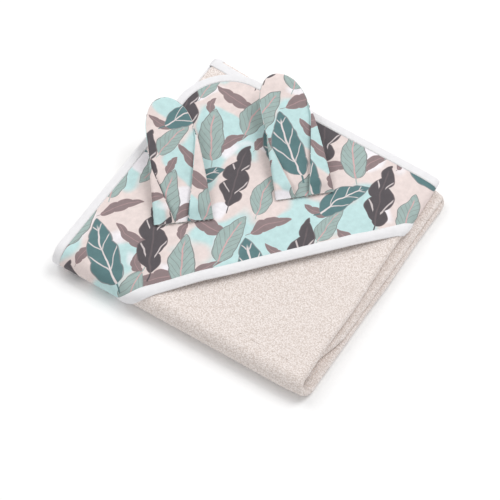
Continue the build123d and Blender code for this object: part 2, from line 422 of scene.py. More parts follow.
def bend_at_roll(piece):
    """Bakes a piece's placement into its mesh. The foot and head of the outer fold are worked out but not
    used.
    """
    foot = FOLD_POINT.copy()
    foot.z = 0.5 * MM
    head = FOLD_POINT.copy()
    head.z = TERRY_TOP - 0.5 * MM
    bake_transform(piece)


# ---------------------------------------------------------------- materials


def add(tree, kind, inputs=None, **settings):
    """Adds a node, sets its properties, and sets or links its inputs."""
    node = tree.nodes.new("ShaderNode" + kind)
    for key, value in settings.items():
        setattr(node, key, value)
    for key, value in (inputs or {}).items():
        if isinstance(value, bpy.types.NodeSocket):
            tree.links.new(value, node.inputs[key])
        else:
            node.inputs[key].default_value = value
    return node


def remap(tree, value, start, end, **settings):
    """Maps start, a pair of values, to end, another pair."""
    spans = {"From Min": start[0], "From Max": start[1], "To Min": end[0], "To Max": end[1]}
    return add(tree, "MapRange", {"Value": value, **spans}, **settings).outputs[0]


def mix(tree, amount, first, second, **settings):
    """Goes from the first colour to the second by this amount."""
    return add(tree, "Mix", {0: amount, 6: first, 7: second}, data_type="RGBA", **settings).outputs[2]


def noise_at(tree, vector, size, **inputs):
    """Noise whose waves are about this long."""
    return add(tree, "TexNoise", {"Vector": vector, "Scale": 1 / size, **inputs})


def flat_place(tree):
    """The place on the flat cloth, in metres."""
    return add(tree, "UVMap", uv_map="flat").outputs[0]


def finish_shader(tree, shader, colour, normal, **values):
    """Joins a colour and a relief to the surface shader, and sets its plain values."""
    tree.links.new(colour, shader.inputs["Base Color"])
    tree.links.new(normal, shader.inputs["Normal"])
    for name, value in values.items():
        shader.inputs[name.replace("_", " ").title()].default_value = value


def new_material(name):
    """An empty node material with its surface shader and output."""
    material = bpy.data.materials.new(name)
    material.use_nodes = True
    tree = material.node_tree
    tree.nodes.clear()
    shader = add(tree, "BsdfPrincipled")
    add(tree, "OutputMaterial", {"Surface": shader.outputs[0]})
    return material, tree, shader


def terry_cotton():
    """Looped cotton terry: matt, warm off-white, with painted shade in the gap round each loop."""
    material, tree, shader = new_material("looped_cotton_terry")
    loop_pitch = 1.3 * MM  # drawn a little coarse, so that loops show
    place_uv = flat_place(tree)
    drift = noise_at(tree, place_uv, 9 * MM, Detail=2.0)
    drifted = add(
        tree, "VectorMath",
        {0: drift.outputs["Color"], 1: (1.2 * MM, 1.2 * MM, 0), 2: place_uv}, operation="MULTIPLY_ADD",
    )
    loops = add(
        tree, "TexVoronoi",
        {"Vector": drifted.outputs[0], "Scale": 1 / loop_pitch, "Randomness": 0.85}, feature="F1",
    )
    # gap: painted shade that darkens the hollow round each loop
    gap = remap(
        tree, loops.outputs["Distance"], (0.25, 0.8), (0.0, 1.0), interpolation_type="SMOOTHSTEP"
    )
    patch = noise_at(tree, place_uv, 1.7 * MM, Detail=1.0, Roughness=0.5)
    tint = remap(tree, patch.outputs["Fac"], (0.3, 0.75), (0.0, 0.55))
    # painted shade between the loops, plus random patches of darker tone
    shade = add(tree, "Math", {0: gap, 1: 0.72, 2: tint}, operation="MULTIPLY_ADD", use_clamp=True)
    mixed = mix(tree, shade.outputs[0], colours().terry, colours().terry_shade)
    lift = add(tree, "Math", {0: 1.0, 1: loops.outputs["Distance"]}, operation="SUBTRACT")
    bump = add(tree, "Bump", {"Height": lift.outputs[0], "Strength": 0.75, "Distance": 0.7 * MM})
    finish_shader(
        tree, shader, mixed, bump.outputs[0], roughness=0.95, sheen_weight=0.25, sheen_roughness=0.6
    )
    return material


def weave(tree, vector, pitch):
    """Height of a plain weave with this thread spacing."""
    inputs = {"Vector": vector, "Scale": 0.5 / pitch, "Distortion": 0.4}
    warp, weft = (add(tree, "TexWave", inputs, bands_direction=way).outputs["Fac"] for way in "XY")
    return add(tree, "Math", {0: warp, 1: weft}, operation="ADD").outputs[0]


def plain_cloth(name, colour, pitch, strength, roughness):
    """Plain woven or knitted cotton: one tint with a little drift, and the relief of its threads."""
    material, tree, shader = new_material(name)
    place_uv = flat_place(tree)
    patch = noise_at(tree, place_uv, 6 * MM, Detail=3.0)
    tint = remap(tree, patch.outputs["Fac"], (0.3, 0.7), (0.96, 1.0))
    mixed = mix(tree, 1.0, colour, tint, blend_type="MULTIPLY")
    bump = add(
        tree, "Bump", {"Height": weave(tree, place_uv, pitch), "Strength": strength, "Distance": 0.2 * MM}
    )
    finish_shader(tree, shader, mixed, bump.outputs[0], roughness=roughness, sheen_weight=0.15)
    return material


def leaf_group():
    """Node group that draws one leaf: where it is filled, its rib and veins, and its outline."""
    group = bpy.data.node_groups.new("leaf", "ShaderNodeTree")
    for name, kind, default in (
        ("Vector", "NodeSocketVector", None),
        ("Centre", "NodeSocketVector", None),
        ("Repeat", "NodeSocketVector", None),
        ("Size", "NodeSocketVector", None),
        ("Turn", "NodeSocketFloat", 0.0),
        ("Bend", "NodeSocketFloat", 0.25),
        ("Lobes", "NodeSocketFloat", 0.0),
        ("Veins", "NodeSocketFloat", 7.0),
        ("Clear", "NodeSocketFloat", 0.0),
    ):
        socket = group.interface.new_socket(name, in_out="INPUT", socket_type=kind)
        if default is not None:
            socket.default_value = default
    for name in ("Fill", "Rib", "Vein", "Outline"):
        group.interface.new_socket(name, in_out="OUTPUT", socket_type="NodeSocketFloat")
    given = group.nodes.new("NodeGroupInput").outputs
    result = group.nodes.new("NodeGroupOutput").inputs

    def math(operation, *values, clamp=False):
        inputs = dict(enumerate(values))
        return add(group, "Math", inputs, operation=operation, use_clamp=clamp).outputs[0]

    def step(value, low, high):
        inputs = {"Value": value, "From Min": low, "From Max": high}
        return add(group, "MapRange", inputs, interpolation_type="SMOOTHSTEP").outputs[0]

    offset = add(group, "VectorMath", {0: given["Vector"], 1: given["Centre"]}, operation="SUBTRACT")
    negative = add(group, "VectorMath", {0: given["Repeat"], "Scale": -1.0}, operation="SCALE")
    wrapped = add(
        group, "VectorMath", {0: offset.outputs[0], 1: given["Repeat"], 2: negative.outputs[0]},
        operation="WRAP",
    )
    turned = add(
        group, "VectorRotate", {"Vector": wrapped.outputs[0], "Angle": given["Turn"]},
        rotation_type="Z_AXIS", invert=True,
    )
    scaled = add(group, "VectorMath", {0: turned.outputs[0], 1: given["Size"]}, operation="DIVIDE")
    parts = add(group, "SeparateXYZ", {0: scaled.outputs[0]})
    along, across = parts.outputs[0], parts.outputs[1]
    room = math("SUBTRACT", 1.0, math("MULTIPLY", along, along), clamp=True)
    curved = math("SUBTRACT", across, math("MULTIPLY", room, given["Bend"]))
    aside = math("ABSOLUTE", curved)
    belly = math("MULTIPLY_ADD", along, -0.28, 0.86)
    half_width = math("MULTIPLY", math("POWER", room, 0.62), belly)
    side = math("MULTIPLY", math("SIGN", curved), 0.9)
    notch = math("ABSOLUTE", math("SINE", math("MULTIPLY_ADD", along, 4.6, side)))
    notch = math("SUBTRACT", 1.0, math("POWER", notch, 0.6))
    bite = math("MULTIPLY_ADD", math("MULTIPLY", notch, given["Lobes"]), -1.0, 1.0)
    margin = math("SUBTRACT", math("MULTIPLY", half_width, bite), aside)
    fill = step(margin, 0.0, 0.05)
    stalk = math("MULTIPLY", step(aside, 0.05, 0.02), step(along, -1.25, -1.2))
    stalk = math("MULTIPLY", stalk, step(along, -0.8, -0.85))
    result_fill = math("MAXIMUM", fill, stalk)
    rib = math("MULTIPLY", step(aside, 0.062, 0.03), step(along, 0.82, 0.62))
    rib = math("MULTIPLY", rib, fill)
    slant = math("MULTIPLY_ADD", aside, -0.75, along)
    teeth = math("PINGPONG", math("MULTIPLY", slant, given["Veins"]), 0.5)
    vein = math("MULTIPLY", step(teeth, 0.07, 0.02), step(margin, 0.05, 0.14))
    vein = math("MULTIPLY", vein, math("GREATER_THAN", aside, given["Clear"]))
    outline = math("MULTIPLY", step(margin, 0.095, 0.055), fill)
    for value, name in ((result_fill, "Fill"), (rib, "Rib"), (vein, "Vein"), (outline, "Outline")):
        group.links.new(value, result[name])
    return group


# One repeat of the print. Each leaf is x, y, turn in degrees, length, width, and its kind.
LEAVES = (
    (70, 60, 20, 48, 18, "mauve"),
    (104, 130, 150, 46, 18, "mauve"),
    (20, 134, 28, 44, 17, "mauve"),
    (112, 74, 42, 40, 15, "mauve"),
    (34, 104, 148, 40, 15, "mauve"),
    (60, 12, 160, 26, 12, "mauve"),
    (142, 80, 60, 24, 12, "mauve"),
    (84, 116, 80, 20, 11, "mauve"),
    (46, 76, 110, 22, 12, "mauve"),
    (92, 82, 98, 62, 32, "sage"),
    (132, 114, 72, 58, 29, "sage"),
    (40, 42, 246, 54, 27, "sage"),
    (8, 20, 82, 48, 26, "sage"),
    (78, 144, 64, 44, 22, "sage"),
    (14, 86, 118, 74, 37, "teal"),
    (88, 26, 38, 58, 28, "teal"),
    (58, 108, 92, 82, 36, "charcoal"),
    (126, 38, 84, 72, 34, "charcoal"),
)
PRINT_TURN = radians(24)  # of the whole print on the hood and ears
# Patches of the print's ground: size in mm, seed, where a patch starts and is full, and its colour.
GROUND_CLOUDS = ((62, 0.31, 0.5, 0.56, "aqua"), (58, 2.9, 0.595, 0.635, "chalk"))
LEAF_KINDS = {
    # kind: bend, lobes, veins each side, how far the veins stay off the rib,
    # then the colours of rib, veins and outline with their strengths
    "mauve": (0.35, 0.25, 2.0, 0.1, ("rose", 0.35), ("outline", 0.0), ("rose", 0.3)),
    "sage": (0.22, 0.08, 3.6, 0.05, ("rose", 0.95), ("outline", 0.6), ("outline", 0.75)),
    "teal": (0.25, 0.14, 1.7, 0.06, ("vein", 0.95), ("vein", 0.85), ("rose", 0.25)),
    "charcoal": (0.16, 0.5, 1.35, 0.2, ("mauve", 0.25), ("vein", 0.75), ("mauve", 0.35)),
}


def printed_cotton():
    """Printed cotton poplin: washed blush, aqua and chalk under layered leaves, and a fine weave."""
    material, tree, shader = new_material("printed_cotton_poplin")
    palette = colours()
    repeat = shape().print_repeat
    place_uv = flat_place(tree)
    tremble = noise_at(tree, place_uv, 20 * MM, Detail=1.5, Roughness=0.5)
    turned = add(
        tree, "VectorRotate", {"Vector": place_uv, "Angle": PRINT_TURN}, rotation_type="Z_AXIS"
    )
    centred = add(
        tree, "VectorMath", {0: tremble.outputs["Color"], 1: (0.5, 0.5, 0.5)}, operation="SUBTRACT"
    )
    drawn = add(
        tree, "VectorMath", {0: centred.outputs[0], 1: (8 * MM, 8 * MM, 0), 2: turned.outputs[0]},
        operation="MULTIPLY_ADD",
    ).outputs[0]
    colour = palette.blush
    for scale, seed, low, high, tint in GROUND_CLOUDS:
        moved = add(tree, "VectorMath", {0: place_uv, 1: (seed, seed, seed)}, operation="ADD")
        cloud = noise_at(tree, moved.outputs[0], scale * MM, Detail=1.2, Roughness=0.4)
        amount = remap(
            tree, cloud.outputs["Fac"], (low, high), (0.0, 1.0), interpolation_type="SMOOTHSTEP"
        )
        colour = mix(tree, amount, colour, getattr(palette, tint))
    group = leaf_group()
    for x, y, turn, length, width, kind in LEAVES:
        bend, lobes, veins, clear, *lines = LEAF_KINDS[kind]
        leaf = tree.nodes.new("ShaderNodeGroup")
        leaf.node_tree = group
        tree.links.new(drawn, leaf.inputs["Vector"])
        values = {
            "Centre": (x * MM, y * MM, 0),
            "Repeat": (repeat / 2, repeat / 2, 1),
            "Size": (length * MM / 2, width * MM / 2, 1),
            "Turn": radians(turn), "Bend": bend, "Lobes": lobes, "Veins": veins, "Clear": clear,
        }
        for key, value in values.items():
            leaf.inputs[key].default_value = value
        colour = mix(tree, leaf.outputs["Fill"], colour, getattr(palette, kind))
        for part, (tint, strength) in zip(("Outline", "Vein", "Rib"), reversed(lines)):
            if strength == 0:
                continue
            amount = add(tree, "Math", {0: leaf.outputs[part], 1: strength}, operation="MULTIPLY")
            colour = mix(tree, amount.outputs[0], colour, getattr(palette, tint))
    wash = noise_at(tree, place_uv, 7 * MM, Detail=5.0, Roughness=0.65)
    faded = remap(tree, wash.outputs["Fac"], (0.3, 0.7), (0.88, 1.03))
    washed = mix(tree, 1.0, colour, faded, blend_type="MULTIPLY")
    crumple = noise_at(tree, place_uv, 16 * MM, Detail=3.0)
    creases = add(tree, "Bump", {"Height": crumple.outputs["Fac"], "Strength": 0.25, "Distance": 2 * MM})
    threads = add(
        tree, "Bump",
        {
            "Height": weave(tree, place_uv, 0.6 * MM), "Strength": 0.25, "Distance": 0.15 * MM,
            "Normal": creases.outputs[0],
        },
    )
    finish_shader(tree, shader, washed, threads.outputs[0], roughness=0.8, sheen_weight=0.1)
    return material


def jersey_lining():
    """Knitted cotton jersey: pale, matt, with fine soft ribs."""
    return plain_cloth("knitted_cotton_jersey", colours().lining, 0.9 * MM, 0.3, 0.85)


def bias_tape():
    """Bleached cotton tape: the whitest thing on the towel, a tight weave with a faint gloss."""
    return plain_cloth("woven_cotton_tape", colours().tape, 0.8 * MM, 0.45, 0.6)


def spun_thread():
    """Spun polyester thread: pale, slightly glossy, with a visible twist."""
    return plain_cloth("spun_polyester_thread", colours().thread, 0.4 * MM, 0.6, 0.5)


FINISH_MAKERS = {
    "terry_cotton": terry_cotton,
    "printed_cotton": printed_cotton,
    "lining_cotton": jersey_lining,
    "binding_tape": bias_tape,
    "sewing_thread": spun_thread,
}
FINISHES = {}


def dress(name, bm, slot):
    """A finished piece with the finish of its material slot, which is made the first time."""
    if slot not in FINISHES:
        FINISHES[slot] = FINISH_MAKERS[slot]()
    return finish_piece(name, bm, FINISHES[slot])


# ---------------------------------------------------------------- terry


# Flat places of the strip's main stations, along v and along u.
ROLL_LENGTH = pi * (ROLL_RADIUS - LAYER / 2)
INNER_ROLL_LENGTH = pi * (INNER_RADIUS - LAYER / 2)
ROLL_START = 8 * MM  # still flat on top, so that the join doesn't show
ROLL_END = -ROLL_LENGTH - 8 * MM
# The strip's inner end stops short of the outer fold, and the cloth's last side short of the first fold.
STRIP_END = -(ROLL_LENGTH + 2 * INNER_V + INNER_ROLL_LENGTH - 10 * MM)
FOLD_START = TOP_FOLD_U - 1.5 * LAYER
FOLD_STOP = LOW_FOLD_U - 1.5 * LAYER + pi * LAYER
CLOTH_END = 3 * (FOLD_START + HALF) + 1.5 * pi * LAYER - HALF - 38 * MM
PILE_WAVES = (1.9 * MM, 5 * MM)  # size of a single loop and of a clump of loops
PILE_ROOM = 0.35 * MM  # of a layer's height, left for its loops


def terry_columns(fine, coarse):
    """Grid lines across u: fine on the outer layer, finer round its fold, coarse on the inner layers."""
    second = FOLD_STOP + TOP_FOLD_U + HALF
    return spaced(
        -HALF, (FOLD_START - 6 * MM, fine), (FOLD_STOP + 4 * MM, 0.9 * MM), (second - 12 * MM, coarse),
        (second + 4 * MM, 1.0 * MM), (CLOTH_END, coarse),
    )


def fold_terry(bm, name):
    """Folds a flat sheet of terry, with its single loops standing in and out."""
    write_uv(bm, lambda co: co.xy)
    pile = shape().pile
    for vert in bm.verts:
        flat_u, flat_v = vert.co.x, vert.co.y
        loops, clumps = (noise.noise(vert.co * (1 / size)) for size in PILE_WAVES)
        n = pile * (loops + 0.6 * clumps)
        vert.co = place(flat_u, flat_v, n)
    return thicken(dress(name, bm, "terry_cotton"), LAYER - PILE_ROOM, 0)


class TOWEL_OT_lower_thirds(bpy.types.Operator):
    """Folds the two thirds of terry that lie under the hood"""
    bl_idname = "towel.lower_thirds"
    bl_label = "Lower thirds"

    def execute(self, context):
        rows = spaced(
            STRIP_END, (STRIP_END + INNER_V, 3.2 * MM), (-(ROLL_LENGTH + INNER_V), 1.2 * MM),
            (-ROLL_LENGTH, 5 * MM),
        )
        bm = grid(terry_columns(3.4 * MM, 7 * MM), rows)
        piece = fold_terry(bm, "towel_lower_thirds")
        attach(piece, "root")
        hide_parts("terry_bottom_third", "terry_inner_fold", "terry_inner_third")
        return {"FINISHED"}


class TOWEL_OT_top_third(bpy.types.Operator):
    """Folds the third of terry that carries the hood"""
    bl_idname = "towel.top_third"
    bl_label = "Top third"

    def execute(self, context):
        rows = spaced(ROLL_START, (TOP_END, 1.7 * MM))
        bm = grid(terry_columns(1.7 * MM, 9 * MM), rows)
        round_corner(bm)
        piece = fold_terry(bm, "towel_top_third")
        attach(piece, "top_third")
        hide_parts("terry_top_third")
        return {"FINISHED"}


class TOWEL_OT_outer_fold(bpy.types.Operator):
    """Rolls the terry round from the bottom third to the top one"""
    bl_idname = "towel.outer_fold"
    bl_label = "Outer fold"

    def execute(self, context):
        rows = spaced(-ROLL_LENGTH, (ROLL_START, 1.25 * MM))
        piece = fold_terry(grid(terry_columns(1.7 * MM, 9 * MM), rows), "towel_outer_fold")
        bend_at_roll(piece)
        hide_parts("terry_outer_fold")
        return {"FINISHED"}


# ---------------------------------------------------------------- binding tape


TAPE_CLOTH = 0.45 * MM  # thickness of the tape, and of an ear's cloth
TAPE_TURNS = 8  # facets of a tape's turn round an edge


def bound_side(p):
    """The towel's bound edge near its corner, as flat u and v and the direction inwards.

    p is 0 where the rounding starts on the top end, and grows round the corner and down the side."""
    arc = CORNER_RADIUS * pi / 2
    if p < 0:
        return CORNER_RADIUS - HALF - p, TOP_END, 0.0, -1.0
    if p > arc:
        return -HALF, TOP_END - CORNER_RADIUS - (p - arc), 1.0, 0.0
    a = p / CORNER_RADIUS
    u = CORNER_RADIUS - HALF - CORNER_RADIUS * sin(a)
    v = TOP_END - CORNER_RADIUS + CORNER_RADIUS * cos(a)
    return u, v, sin(a), -cos(a)


def side_at(flat_v):
    """How far along the bound edge this flat v is, on the side."""
    return CORNER_RADIUS * pi / 2 + TOP_END - CORNER_RADIUS - flat_v


def end_at(flat_u):
    """How far along the bound edge this flat u is, on the top end."""
    return CORNER_RADIUS - HALF - flat_u


def hidden_side(p):
    """The towel's last side, inside the first fold, with p as flat v."""
    return CLOTH_END, p, -1.0, 0.0


def inner_end(p):
    """The towel's end inside the packet, with p as flat u."""
    return p, STRIP_END, 0.0, 1.0


def tape_top(flat_u, flat_v):
    """Height of the binding's upper face above the middle of the terry."""
    on_hood = mouth_distance(flat_u, flat_v) > 0
    bare = LAYER / 2 + 0.35 * MM
    return hood_face(flat_u, flat_v) + 0.35 * MM if on_hood else bare


def mouth_distance(flat_u, flat_v):
    """How far inside the hood a flat point is, measured from its mouth."""
    return to_hood(flat_u, flat_v)[1] - MOUTH_Y


def tape_turn(low, top, start, depth):
    """The half round of a tape's section from its lower to its upper face, past the cloth's edge."""
    angles = [pi * k / TAPE_TURNS for k in range(TAPE_TURNS + 1)]
    return [(start - depth * sin(a), (low + top) / 2 - (top - low) / 2 * cos(a)) for a in angles]


def tape_section(flat_u, flat_v, nu, nv):
    """Cross-section of the side binding, from its lower hem round the edge to its upper hem."""
    low = -LAYER / 2 - 0.25 * MM
    inside = (flat_u + nu * TAPE_WIDTH / 2, flat_v + nv * TAPE_WIDTH / 2)
    top = tape_top(*inside)
    section = [(TAPE_WIDTH, low + 0.3 * MM)] + [(TAPE_WIDTH * k / 4, low) for k in (3, 2, 1)]
    section += tape_turn(low, top, 0.4 * MM, 1.9 * MM)
    puff = 0.25 * MM
    for k in range(1, 7):
        w = TAPE_WIDTH * k / 6
        section.append((w, top + puff * sin(pi * w / TAPE_WIDTH)))
    section.append((TAPE_WIDTH + 0.05 * MM, top - 0.5 * MM))
    return section


def sweep_tape(name, route, places, section_at):
    """Sweeps a folded tape along an edge of the flat cloth and folds it with the cloth."""
    width = len(section_at(*route(places[0])))
    bm = grid([float(k) for k in range(len(places))], [float(k) for k in range(width)])
    sections = [(*route(p), section_at(*route(p))) for p in places]

    def flat_at(co):
        i, j = round(co.x), round(co.y)
        w, n = sections[i][4][j]
        return places[i], w + (n if j > width / 2 else -n)

    write_uv(bm, flat_at)
    for vert in bm.verts:
        i, j = round(vert.co.x), round(vert.co.y)
        u, v, nu, nv, section = sections[i]
        w, n = section[j]
        n += 0.12 * MM * noise.noise(Vector((places[i] / (5 * MM), w / (3 * MM), n / (3 * MM))))
        vert.co = place(u + nu * w, v + nv * w, n)
    return thicken(dress(name, bm, "binding_tape"), TAPE_CLOTH, -1)


def bind(name, route, places, nodes, body=None):
    """A stretch of side binding that stands for these CAD nodes."""
    piece = sweep_tape(name, route, places, tape_section)
    if body is None:
        bend_at_roll(piece)
    else:
        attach(piece, body)
    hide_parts(*nodes)


class TOWEL_OT_side_binding(bpy.types.Operator):
    """Sews the pale tape round the towel's four sides"""
    bl_idname = "towel.side_binding"
    bl_label = "Side binding"

    def execute(self, context):
        step = 2.6 * MM
        turn = 0.9 * MM
        past_fold = end_at(FOLD_STOP + 22 * MM)
        around = spaced(past_fold, (end_at(FOLD_START - 4 * MM), turn), (side_at(ROLL_START), step))
        bind("binding_hood_sides", bound_side, around, ["edge_binding_hood"], "top_third")
        rest = spaced(end_at(CLOTH_END), (past_fold, step))
        bind("binding_top_end", bound_side, rest, ["edge_binding_top_end"], "top_third")
        roll = spaced(side_at(ROLL_START), (side_at(-ROLL_LENGTH), 1.2 * MM))
        bind("binding_outer_fold", bound_side, roll, ["edge_binding_outer_fold"])
        lower = spaced(
            side_at(-ROLL_LENGTH), (side_at(-ROLL_LENGTH - INNER_V), 3 * MM),
            (side_at(STRIP_END + INNER_V), 1.2 * MM), (side_at(STRIP_END), 3 * MM),
        )
        nodes = ["edge_binding_bottom_side", "edge_binding_inner_side"]
        bind("binding_lower_side", bound_side, lower, nodes, "root")
        across = spaced(
            -HALF, (FOLD_START - 4 * MM, 3 * MM), (FOLD_STOP + 4 * MM, turn), (CLOTH_END, 3 * MM)
        )
        bind("binding_inner_end", inner_end, across, ["edge_binding_inner_end"], "root")
        low = spaced(
            STRIP_END, (STRIP_END + INNER_V, 4 * MM), (-ROLL_LENGTH - INNER_V, 1.2 * MM),
            (-ROLL_LENGTH, 4 * MM),
        )
        bind("binding_hidden_lower", hidden_side, low, ["edge_binding_hidden_lower"], "root")
        high = spaced(ROLL_START, (TOP_END, 4 * MM))
        bind("binding_hidden_top", hidden_side, high, ["edge_binding_hidden_top"], "top_third")
        return {"FINISHED"}


# ---------------------------------------------------------------- hood


MOUTH_WIDTH = 10 * MM  # of the tape along the hood's mouth
POINT_U = FOLD_START - 5 * MM  # the brim ends here, short of the right fold


def hood_grid():
    """The hood's flat cloth, cut to its bound sides and to its mouth, with lines at every fold."""
    corner = to_flat(0, MOUTH_Y)
    slope = -U_AXIS.y / V_AXIS.y
    lowest = corner[1] + (-HALF - corner[0]) * slope - 2 * MM
    highest = corner[0] + (TOP_END - corner[1]) / slope + 2 * MM
    columns = spaced(-HALF, (POINT_U, 3.2 * MM), (FOLD_STOP + 12 * MM, 1.1 * MM), (highest, 3.2 * MM))
    rows = spaced(
        lowest, (-ROLL_LENGTH - 8 * MM, 3.2 * MM), (0, 1.4 * MM), (ROLL_START, 2 * MM), (TOP_END, 3.2 * MM)
    )
    bm = grid(columns, rows)
    cut(bm, corner, (-U_AXIS.y, -V_AXIS.y))
    round_corner(bm)
    return bm


def bend_brim(piece):
    """Bakes a piece's placement into its mesh."""
    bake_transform(piece)


def mouth_x_at_v(flat_v):
    """x of the mouth where it crosses this flat v."""
    corner = to_flat(0, MOUTH_Y)
    return (flat_v - corner[1]) / V_AXIS.x


def mouth_x_at_u(flat_u):
    """x of the mouth where it crosses this flat u."""
    corner = to_flat(0, MOUTH_Y)
    return (flat_u - corner[0]) / U_AXIS.x


MOUTH_LEFT_X = mouth_x_at_v(ROLL_START)
MOUTH_RIGHT_X = mouth_x_at_u(POINT_U)

# Where the parts of the hood are cut off, each as a flat point and the direction that goes.
HINGE_LINE = to_flat(0, BRIM_Y)
MIDDLE_LINE = to_flat(BRIM_X, 0)
ON_TOP = ((0, ROLL_START), (0, -1))
BEFORE_RIGHT_FOLD = ((POINT_U, 0), (1, 0))
IN_FRONT = (HINGE_LINE, (U_AXIS.y, V_AXIS.y))
CROWN_CUTS = (ON_TOP, (HINGE_LINE, (-U_AXIS.y, -V_AXIS.y)))
LEFT_BRIM_CUTS = (ON_TOP, BEFORE_RIGHT_FOLD, IN_FRONT, (MIDDLE_LINE, (U_AXIS.x, V_AXIS.x)))
RIGHT_BRIM_CUTS = (ON_TOP, BEFORE_RIGHT_FOLD, IN_FRONT, (MIDDLE_LINE, (-U_AXIS.x, -V_AXIS.x)))
RIGHT_POINT_CUTS = (((POINT_U, 0), (-1, 0)), IN_FRONT)
LEFT_POINT_CUTS = (((0, ROLL_START), (0, 1)),)

HOOD_PARTS = (
    # name, how it is cut, how it moves, and the CAD nodes of its cloth and of its lining
    ("hood_crown", CROWN_CUTS, "top_third", ["hood_panel", "hood_right_wrap"], ["hood_lining"]),
    ("hood_right_point", RIGHT_POINT_CUTS, "top_third", [], []),
    ("hood_left_point", LEFT_POINT_CUTS, "roll", ["hood_left_wrap"], []),
    ("hood_brim_left", LEFT_BRIM_CUTS, "brim_left", ["brim_panel"], ["brim_lining"]),
    ("hood_brim_right", RIGHT_BRIM_CUTS, "brim_right", [], []),
)


def move_with(piece, way):
    """Attaches a piece to the body that carries it. Pieces of the roll and of the brims only have their
    placement baked.
    """
    if way == "roll":
        bend_at_roll(piece)
    elif way == "brim_left":
        bend_brim(piece)
    elif way == "brim_right":
        bend_brim(piece)
    else:
        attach(piece, way)


def flat_size(bm):
    """Width and length of a mesh that is still flat."""
    us = [vert.co.x for vert in bm.verts]
    vs = [vert.co.y for vert in bm.verts]
    return max(us) - min(us), max(vs) - min(vs)


def hood_layer(name, cuts, way, nodes, drop, thickness, slot):
    """One layer of the hood's cloth, this far below its outer face."""
    bm = hood_grid()
    for point, outward in cuts:
        cut(bm, point, outward)
    area, size = sum(face.calc_area() for face in bm.faces), flat_size(bm)
    write_uv(bm, lambda co: to_hood(co.x, co.y))
    for vert in bm.verts:
        u, v = vert.co.x, vert.co.y
        vert.co = place(u, v, hood_face(u, v) - drop)
    piece = thicken(dress(name, bm, slot), thickness, -1)
    move_with(piece, way)
    if nodes:
        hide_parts(*nodes)
    bounded = max(area, 0.31 * size[0] * size[1])


class TOWEL_OT_hood(bpy.types.Operator):
    """Lays the printed hood and its lining over the packet's corner"""
    bl_idname = "towel.hood"
    bl_label = "Hood"

    def execute(self, context):
        for name, cuts, way, nodes, lining_nodes in HOOD_PARTS:
            hood_layer(name, cuts, way, nodes, 0, HOOD_CLOTH, "printed_cotton")
            lining = name.replace("hood_", "lining_")
            hood_layer(lining, cuts, way, lining_nodes, HOOD_CLOTH, LINING_CLOTH, "lining_cotton")
        return {"FINISHED"}


def mouth_edge(x):
    """The hood's mouth as flat u and v and the direction into the hood, with x along it."""
    u, v = to_flat(x, MOUTH_Y)
    return u, v, U_AXIS.y, V_AXIS.y


def mouth_section(u, v, nu, nv):
    """Cross-section of the mouth tape, from its hem inside the hood round to its outer hem."""
    inside = (u + nu * MOUTH_WIDTH / 2, v + nv * MOUTH_WIDTH / 2)
    top = hood_face(*inside) + 0.3 * MM
    low = top - HOOD_STACK - 0.8 * MM
    puff = shape().tape_puff
    section = [(MOUTH_WIDTH * k / 4, low) for k in (4, 3, 2, 1)]
    section += tape_turn(low, top, 0.6 * MM, 1.7 * MM)
    for k in range(1, 8):
        w = MOUTH_WIDTH * k / 7
        section.append((w, top + puff * sin(pi * w / MOUTH_WIDTH) ** 0.8 if w < MOUTH_WIDTH else top))
    section.append((MOUTH_WIDTH + 0.05 * MM, top - 0.5 * MM))
    return section


class TOWEL_OT_mouth_binding(bpy.types.Operator):
    """Sews the wider tape along the hood's mouth"""
    bl_idname = "towel.mouth_binding"
    bl_label = "Mouth binding"

    def execute(self, context):
        left_end = mouth_x_at_u(-HALF)
        right_end = mouth_x_at_v(TOP_END)
        stretches = (
            ("mouth_tape_left_point", spaced(left_end, (MOUTH_LEFT_X, 1.6 * MM)), "roll", []),
            ("mouth_tape_left", spaced(MOUTH_LEFT_X, (BRIM_X, 2.6 * MM)), "brim_left", ["mouth_binding"]),
            ("mouth_tape_right", spaced(BRIM_X, (MOUTH_RIGHT_X, 2.6 * MM)), "brim_right", []),
            (
                "mouth_tape_right_point", spaced(MOUTH_RIGHT_X, (right_end, 1.2 * MM)), "top_third",
                ["mouth_binding_ends"],
            ),
        )
        for name, places, way, nodes in stretches:
            piece = sweep_tape(name, mouth_edge, places, mouth_section)
            move_with(piece, way)
            if nodes:
                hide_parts(*nodes)
        return {"FINISHED"}


# ---------------------------------------------------------------- ears


TIP_START = 0.70  # share of an ear's length where its tip begins
LEFT_FLAP = (22 * MM, 0.52)  # width at the seam, and the height where it ends
RIGHT_FLAP = (27 * MM, 0.74)
CREASE_RADIUS = 1.9 * MM
ACROSS_STEPS = 68  # grid lines of an ear panel, across and along it
ALONG_STEPS = 56
SEAM_PRESS = 0.22  # share of an ear's thickness that its seam leaves
DROOP = -7 * MM  # how far an ear's tip hangs, and how far it leans left
SWEEP = -5.5 * MM


# Where in the print each ear's front and back panel are cut, in metres.
EAR_PRINTS = {"left_ear": ((0.128, 0.012), (0.052, 0.09)), "right_ear": ((0.05, 0.015), (0.1, 0.04))}


def ear_half_width(b):
    """Half width of the folded ear at this share of its length."""
    straight = shape().ear_half_width * (1 - 0.19 * b)
    past = max(0.0, (b - TIP_START) / (1 - TIP_START))
    return straight * sqrt(max(0.0, 1 - past ** 2.3))


def flap(b, side):
    """Width of the flap that is folded over at this share of the ear's length."""
    width, end = RIGHT_FLAP if side > 0 else LEFT_FLAP
    return width * max(0.0, 1 - b / end)


